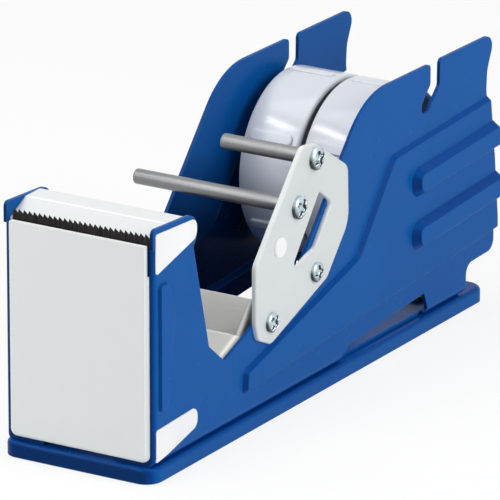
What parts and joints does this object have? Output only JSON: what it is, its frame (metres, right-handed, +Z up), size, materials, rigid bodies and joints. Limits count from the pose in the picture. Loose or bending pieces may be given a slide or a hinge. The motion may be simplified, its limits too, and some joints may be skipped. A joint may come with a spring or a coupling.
{
  "type": "multi-roll tape dispenser",
  "caption": "Heavy steel counter dispenser for rolls of tape side by side, with core drums on a lift-out axle, guide rods and a serrated cutter.",
  "frame": {"origin": "on the table plane, under the middle of the whole dispenser", "axes": "+X to the side with the guide-rod bracket, +Y from the cutter to the open rear of the axle channels, +Z up"},
  "size_m": [0.08, 0.2692, 0.116],
  "materials": {
    "blue_paint": "satin",
    "grey_paint": "satin",
    "bare_sheet": "brushed",
    "blade_steel": "satin",
    "zinc": "zinc plated",
    "drum_plastic": "semi-gloss",
    "white_plastic": "matte",
    "foot_rubber": "matte",
    "black_steel": "semi-gloss"
  },
  "bodies": {
    "frame": {"base_pan": "blue_paint", "left_side_plate": "blue_paint", "right_side_plate": "blue_paint", "front_cover": "grey_paint", "cover_nuts": "zinc", "cutter_blade": "blade_steel", "top_sheet": "grey_paint", "top_sheet_screws": "zinc", "inner_tray": "bare_sheet", "tray_rivets": "zinc", "rod_bracket": "grey_paint", "upper_rod": "zinc", "lower_rod": "zinc", "rod_screws": "zinc", "bracket_screws": "zinc", "bracket_nuts": "zinc", "spare_hole_plug": "white_plastic", "upper_side_pad": "white_plastic", "lower_side_pad": "white_plastic", "rubber_feet": "foot_rubber", "foot_screws": "black_steel", "base_rivets": "zinc"},
    "axle": {"drum_axle": "zinc", "drum_spacer": "drum_plastic", "axle_collars": "zinc"},
    "left_roll_drum": {"left_drum": "drum_plastic"},
    "right_roll_drum": {"right_drum": "drum_plastic"}
  },
  "joints": [
    {"name": "axle_slide", "type": "slide", "parent": "frame", "child": "axle", "axis": [0, 0.9986, 0.0523], "range_m": [0, 0.072]},
    {"name": "left_drum_spin", "type": "hinge", "parent": "axle", "child": "left_roll_drum", "pos_m": [0, 0.06952, 0.06891], "axis": [1, 0, 0], "continuous": true},
    {"name": "right_drum_spin", "type": "hinge", "parent": "axle", "child": "right_roll_drum", "pos_m": [0, 0.06952, 0.06891], "axis": [1, 0, 0], "continuous": true}
  ]
}
